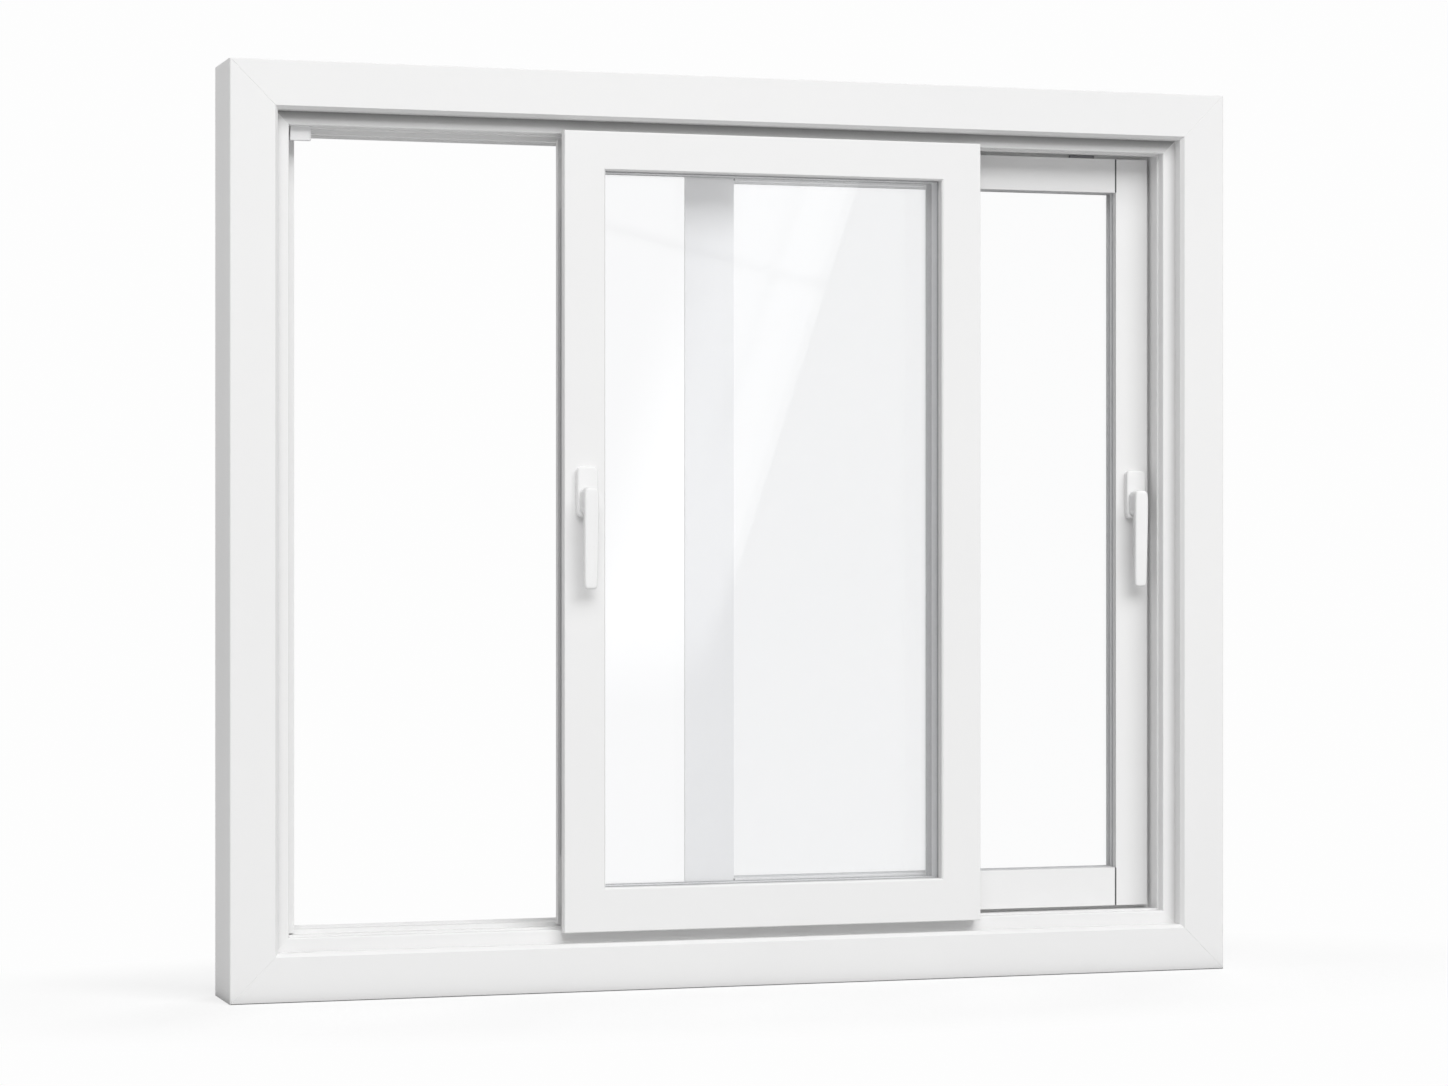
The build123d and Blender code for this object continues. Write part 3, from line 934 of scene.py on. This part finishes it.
@dataclass
class PhotoCamera:
    """The camera of the photograph, level and turned to the right."""

    place: Triple = (-1.5281, -4.8202, 0.5852)
    turn: float = 17.43
    lens: float = 94.23
    sensor_width: float = 36.0
    farthest: float = 100.0

    def build(self) -> None:
        """Make the camera and look through it."""
        data = bpy.data.cameras.new("photo_camera")
        data.sensor_width = self.sensor_width
        data.lens = self.lens
        data.clip_end = self.farthest
        camera = bpy.data.objects.new("photo_camera", data)
        camera.location = self.place
        camera.rotation_euler = (math.radians(90.0), 0.0, -math.radians(self.turn))
        bpy.context.scene.collection.objects.link(camera)
        bpy.context.scene.camera = camera
        LOG.info("camera at %s", self.place)


@dataclass
class SoftBox:
    """A flat studio lamp that faces a point."""

    name: str
    place: Vector
    aim: Vector
    width: float
    height: float
    watts: float

    def build(self) -> None:
        """Make the lamp."""
        data = bpy.data.lights.new(self.name, "AREA")
        data.shape = "RECTANGLE"
        data.size = self.width
        data.size_y = self.height
        data.energy = self.watts
        lamp = bpy.data.objects.new(self.name, data)
        lamp.location = self.place
        lamp.rotation_euler = (self.aim - self.place).to_track_quat("-Z", "Y").to_euler()
        lamp.visible_camera = False
        lamp.visible_glossy = False
        lamp.visible_transmission = False
        bpy.context.scene.collection.objects.link(lamp)
        LOG.info("lamp %s", self.name)


@dataclass
class ReflectionCard:
    """A card in front of the window that only reflections show.

    It stands for the bright panes of a window across the room. Its bars lean to the right, and
    right of its edge reflections are darker.
    """

    distance: float = 0.6
    left: float = -0.35
    right: float = 1.05
    top: float = 1.25
    border: float = 0.08
    crossing: Triple = (0.233, 0.0, 0.990)
    upright_lean: float = 18.2
    level_lean: float = 13.3
    edge: float = 0.0822
    edge_blur_foot: float = 0.05
    edge_blur_top: float = 0.0012
    edge_blur_rise: Span = (0.25, 0.62)
    wedge_rise: Span = (0.3, 0.5)
    side_glow: Span = (0.07, 0.19)
    bar_half: float = 0.0075
    bar_blur: float = 0.003
    bar_dimming: float = 0.12
    bar_fade: Span = (-0.45, -0.1)
    bright_far: float = 0.95
    bright_edge: float = 1.17
    glow_span: Span = (-0.17, -0.05)
    dark: float = 0.92

    def build(self) -> None:
        """Make the card and hide it from all but reflections."""
        bpy.ops.object.select_all(action="DESELECT")
        middle = ((self.left + self.right) / 2, -self.distance, self.top / 2)
        bpy.ops.mesh.primitive_plane_add(size=1.0, location=middle, rotation=(math.radians(90.0), 0.0, 0.0))
        card = bpy.context.object
        card.name = "reflection_card"
        card.scale = (self.right - self.left, self.top, 1.0)
        bpy.ops.object.transform_apply(location=True, rotation=True, scale=True)
        card.visible_camera = False
        card.visible_diffuse = False
        card.visible_shadow = False
        card.data.materials.append(self.material())
        LOG.info("reflection card")

    def leaning(self, sheet: NodeSheet, lean: float) -> tuple[Socket, Socket]:
        """Coordinates of the card about its crossing, leant to the right.

        Args:
            sheet: The material that gets the nodes.
            lean: Degrees from upright.

        Returns:
            The sockets across and along.
        """
        coordinates = sheet.add("ShaderNodeTexCoord")
        mapping = sheet.add("ShaderNodeMapping", vector_type="TEXTURE")
        mapping.inputs["Location"].default_value = self.crossing
        mapping.inputs["Rotation"].default_value = (0.0, math.radians(lean), 0.0)
        sheet.join(coordinates.outputs["Object"], mapping.inputs["Vector"])
        parts = sheet.add("ShaderNodeSeparateXYZ")
        sheet.join(mapping.outputs["Vector"], parts.inputs["Vector"])
        return parts.outputs["X"], parts.outputs["Z"]

    def bar(self, sheet: NodeSheet, across: Socket) -> Socket:
        """A soft bar where a coordinate is near zero.

        Args:
            sheet: The material that gets the nodes.
            across: The coordinate across the bar.

        Returns:
            A socket that is 1 on the bar.
        """
        start, end = self.bar_half - self.bar_blur, self.bar_half + self.bar_blur
        return sheet.ramp(sheet.math("ABSOLUTE", across), start, end, 1.0, 0.0)

    def material(self) -> bpy.types.Material:
        """Make the card's glow: bright panes, faint bars and a darker rest, clear at the borders.

        Returns:
            The card's material.
        """
        sheet = NodeSheet("reflected_panes")
        across, up = self.leaning(sheet, self.upright_lean)
        level_up = self.leaning(sheet, self.level_lean)[1]
        coordinates = sheet.add("ShaderNodeSeparateXYZ")
        sheet.join(sheet.place(), coordinates.inputs["Vector"])
        x, z = coordinates.outputs["X"], coordinates.outputs["Z"]

        blur = sheet.ramp(z, *self.edge_blur_rise, self.edge_blur_foot, self.edge_blur_top)
        past_edge = sheet.math("SUBTRACT", across, self.edge)
        lit = sheet.ramp(sheet.math("DIVIDE", past_edge, blur), -1.0, 1.0, 1.0, 0.0)
        wedge = sheet.math("MULTIPLY", lit, sheet.ramp(z, *self.wedge_rise))
        bright = sheet.ramp(across, *self.glow_span, self.bright_far, self.bright_edge)
        gain = sheet.math("MULTIPLY", wedge, sheet.math("SUBTRACT", bright, self.dark))
        beside = sheet.ramp(x, *self.side_glow, self.bright_far - self.dark, 0.0)
        gain = sheet.math("MAXIMUM", gain, beside)
        bars = sheet.math("MAXIMUM", self.bar(sheet, across), self.bar(sheet, level_up))
        shown = sheet.math("MULTIPLY", bars, sheet.ramp(up, *self.bar_fade, 0.0, self.bar_dimming))
        gain = sheet.math("SUBTRACT", gain, sheet.math("MULTIPLY", wedge, shown))
        strength = sheet.math("ADD", gain, self.dark)
        glow = sheet.add("ShaderNodeEmission")
        sheet.join(strength, glow.inputs["Strength"])

        path = sheet.add("ShaderNodeLightPath")
        reflected = sheet.math("GREATER_THAN", path.outputs["Glossy Depth"], 0.5)
        inner = sheet.math(
            "MINIMUM",
            sheet.ramp(x, self.left, self.left + self.border),
            sheet.ramp(x, self.right - self.border, self.right, 1.0, 0.0),
        )
        clear = sheet.add("ShaderNodeBsdfTransparent")
        mix = sheet.add("ShaderNodeMixShader")
        sheet.join(sheet.math("MULTIPLY", reflected, inner), mix.inputs[0])
        sheet.join(clear.outputs[0], mix.inputs[1])
        sheet.join(glow.outputs[0], mix.inputs[2])
        return sheet.surface(mix)


@dataclass
class Studio:
    """White floor, white surroundings, a large soft key lamp, a small fill lamp and a back lamp."""

    white: float = 0.985
    mirrored: float = 0.6
    surround: float = 0.23
    floor_half: float = 30.0
    floor_grey: float = 0.62
    floor_seen: float = 0.9
    # Grey of the painted contact shade at the window's foot, seen only by bounced light
    painted_contact_grey: float = 0.08
    contact_reach: Span = (0.002, 0.02)
    shadow_share: float = 0.3
    shadow_fade: Span = (0.85, 1.3)
    shadow_stretch: Triple = (1.0, 2.2, 0.0)
    aim_height: float = 0.6

    def build_world(self) -> None:
        """White to the camera and through glass, dimmer in reflections and as light on the object."""
        world = bpy.data.worlds.new("studio_white")
        bpy.context.scene.world = world
        world.use_nodes = True
        tree = world.node_tree
        tree.nodes.clear()
        output = tree.nodes.new("ShaderNodeOutputWorld")
        background = tree.nodes.new("ShaderNodeBackground")
        path = tree.nodes.new("ShaderNodeLightPath")
        brightest = None
        for ray, level in (
            ("Is Camera Ray", self.white),
            ("Is Transmission Ray", self.white),
            ("Is Glossy Ray", self.mirrored),
        ):
            scaled = tree.nodes.new("ShaderNodeMath")
            scaled.operation = "MULTIPLY"
            scaled.inputs[1].default_value = level
            tree.links.new(path.outputs[ray], scaled.inputs[0])
            either = tree.nodes.new("ShaderNodeMath")
            either.operation = "MAXIMUM"
            either.inputs[1].default_value = self.surround
            tree.links.new(scaled.outputs[0], either.inputs[0])
            if brightest is not None:
                tree.links.new(brightest, either.inputs[1])
            brightest = either.outputs[0]
        tree.links.new(brightest, background.inputs["Strength"])
        background.inputs["Color"].default_value = (1.0, 1.0, 1.0, 1.0)
        tree.links.new(background.outputs[0], output.inputs["Surface"])

    @staticmethod
    def beside_base(sheet: NodeSheet) -> Socket:
        """How far a place on the floor lies outside the foot of the window.

        Args:
            sheet: The material that gets the nodes.

        Returns:
            The distance in metres, below zero under the window.
        """
        parts = sheet.add("ShaderNodeSeparateXYZ")
        sheet.join(sheet.place(), parts.inputs["Vector"])
        past = [
            sheet.math("SUBTRACT", sheet.math("ABSOLUTE", parts.outputs[axis]), float(edge))
            for axis, edge in zip("XY", CAD_BOX[1])
        ]
        return sheet.math("MAXIMUM", *past)

    def build_floor(self) -> None:
        """A wide pale floor that fades into the white surroundings and keeps the window's shadow, with
        painted contact shade at the window's foot.
        """
        bpy.ops.object.select_all(action="DESELECT")
        bpy.ops.mesh.primitive_plane_add(size=2 * self.floor_half, location=(0.0, 0.0, 0.0))
        floor = bpy.context.object
        floor.name = "studio_floor"
        sheet = NodeSheet("floor_white")
        path = sheet.add("ShaderNodeLightPath")
        seen = sheet.math("MAXIMUM", path.outputs["Is Camera Ray"], path.outputs["Is Transmission Ray"])
        beside = self.beside_base(sheet)
        # Painted contact shade: to bounced light the floor is nearly black under and just beside the
        # window's foot, which darkens the window's lowest edges
        bounce = sheet.ramp(beside, *self.contact_reach, self.painted_contact_grey, self.floor_grey)
        tone = sheet.math("MAXIMUM", bounce, sheet.math("MULTIPLY", seen, self.floor_seen))
        matt = sheet.add("ShaderNodeBsdfDiffuse")
        sheet.join(tone, matt.inputs["Color"])
        glow = sheet.add("ShaderNodeEmission")
        glow.inputs["Color"].default_value = (self.white, self.white, self.white, 1.0)
        away = sheet.add("ShaderNodeVectorMath", operation="LENGTH")
        sheet.join(sheet.place(self.shadow_stretch), away.inputs[0])
        fade = sheet.ramp(away.outputs["Value"], *self.shadow_fade, 1.0 - self.shadow_share, 1.0)
        mix = sheet.add("ShaderNodeMixShader")
        sheet.join(sheet.math("MULTIPLY", seen, fade), mix.inputs[0])
        sheet.join(matt.outputs[0], mix.inputs[1])
        sheet.join(glow.outputs[0], mix.inputs[2])
        floor.data.materials.append(sheet.surface(mix))
        LOG.info("floor")

    def build(self) -> None:
        """Make the surroundings, the floor, the lamps and the reflection card."""
        self.build_world()
        self.build_floor()
        aim = Vector((0.0, 0.0, self.aim_height))
        for lamp in (
            SoftBox("key_lamp", Vector((2.2, -14.5, 13.9)), aim, width=22.0, height=11.5, watts=4150.0),
            SoftBox("fill_lamp", Vector((-5.7, -0.5, 1.8)), aim, width=2.0, height=2.0, watts=62.0),
            SoftBox("back_lamp", Vector((6.5, 9.0, 7.5)), aim, width=6.0, height=6.0, watts=500.0),
        ):
            lamp.build()
        ReflectionCard().build()


def main() -> None:
    """Build the scene in order."""
    bpy.context.scene.view_settings.view_transform = "Standard"
    PhotoCamera().build()
    Studio().build()
    finishes = Finishes()
    for node in frame["nodes"]:
        finishes.dress(node)
    for prefix in ("front", "rear"):
        LeverHandle(prefix, finishes.handle).build()
    RailJoints(finishes.joint_dark_strip).build()


if __name__ == "__main__":
    main()
